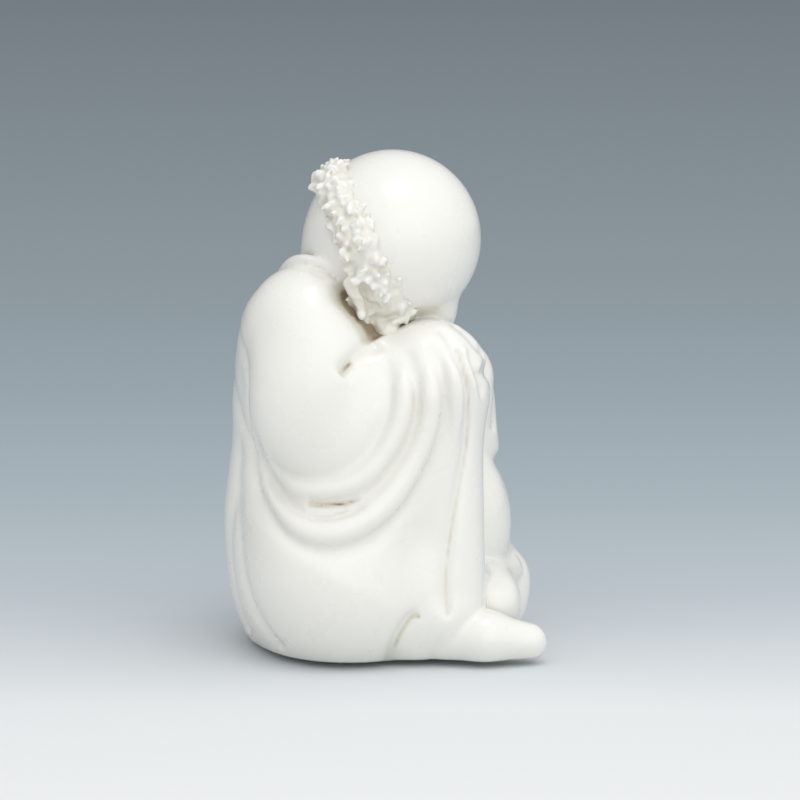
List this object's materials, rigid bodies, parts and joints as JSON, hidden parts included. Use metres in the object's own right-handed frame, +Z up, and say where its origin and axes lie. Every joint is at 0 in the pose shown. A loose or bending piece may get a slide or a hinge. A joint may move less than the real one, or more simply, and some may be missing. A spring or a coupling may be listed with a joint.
{
  "type": "seated sleeping shoulao figure",
  "caption": "White glazed porcelain figure of an old bald man asleep, head resting on the sleeve over his raised knee.",
  "frame": {"origin": "middle of the figure's width and depth, on the plane that it stands on", "axes": "+Z up; the figure's belly and feet point to -Y and its left side to +X"},
  "size_m": [0.0798, 0.0702, 0.1103],
  "materials": {
    "white_glaze": "glossy warm ivory-white glaze, pooled beige in the folds"
  },
  "bodies": {
    "root": {"shoulao_figure": "white_glaze"}
  },
  "joints": []
}
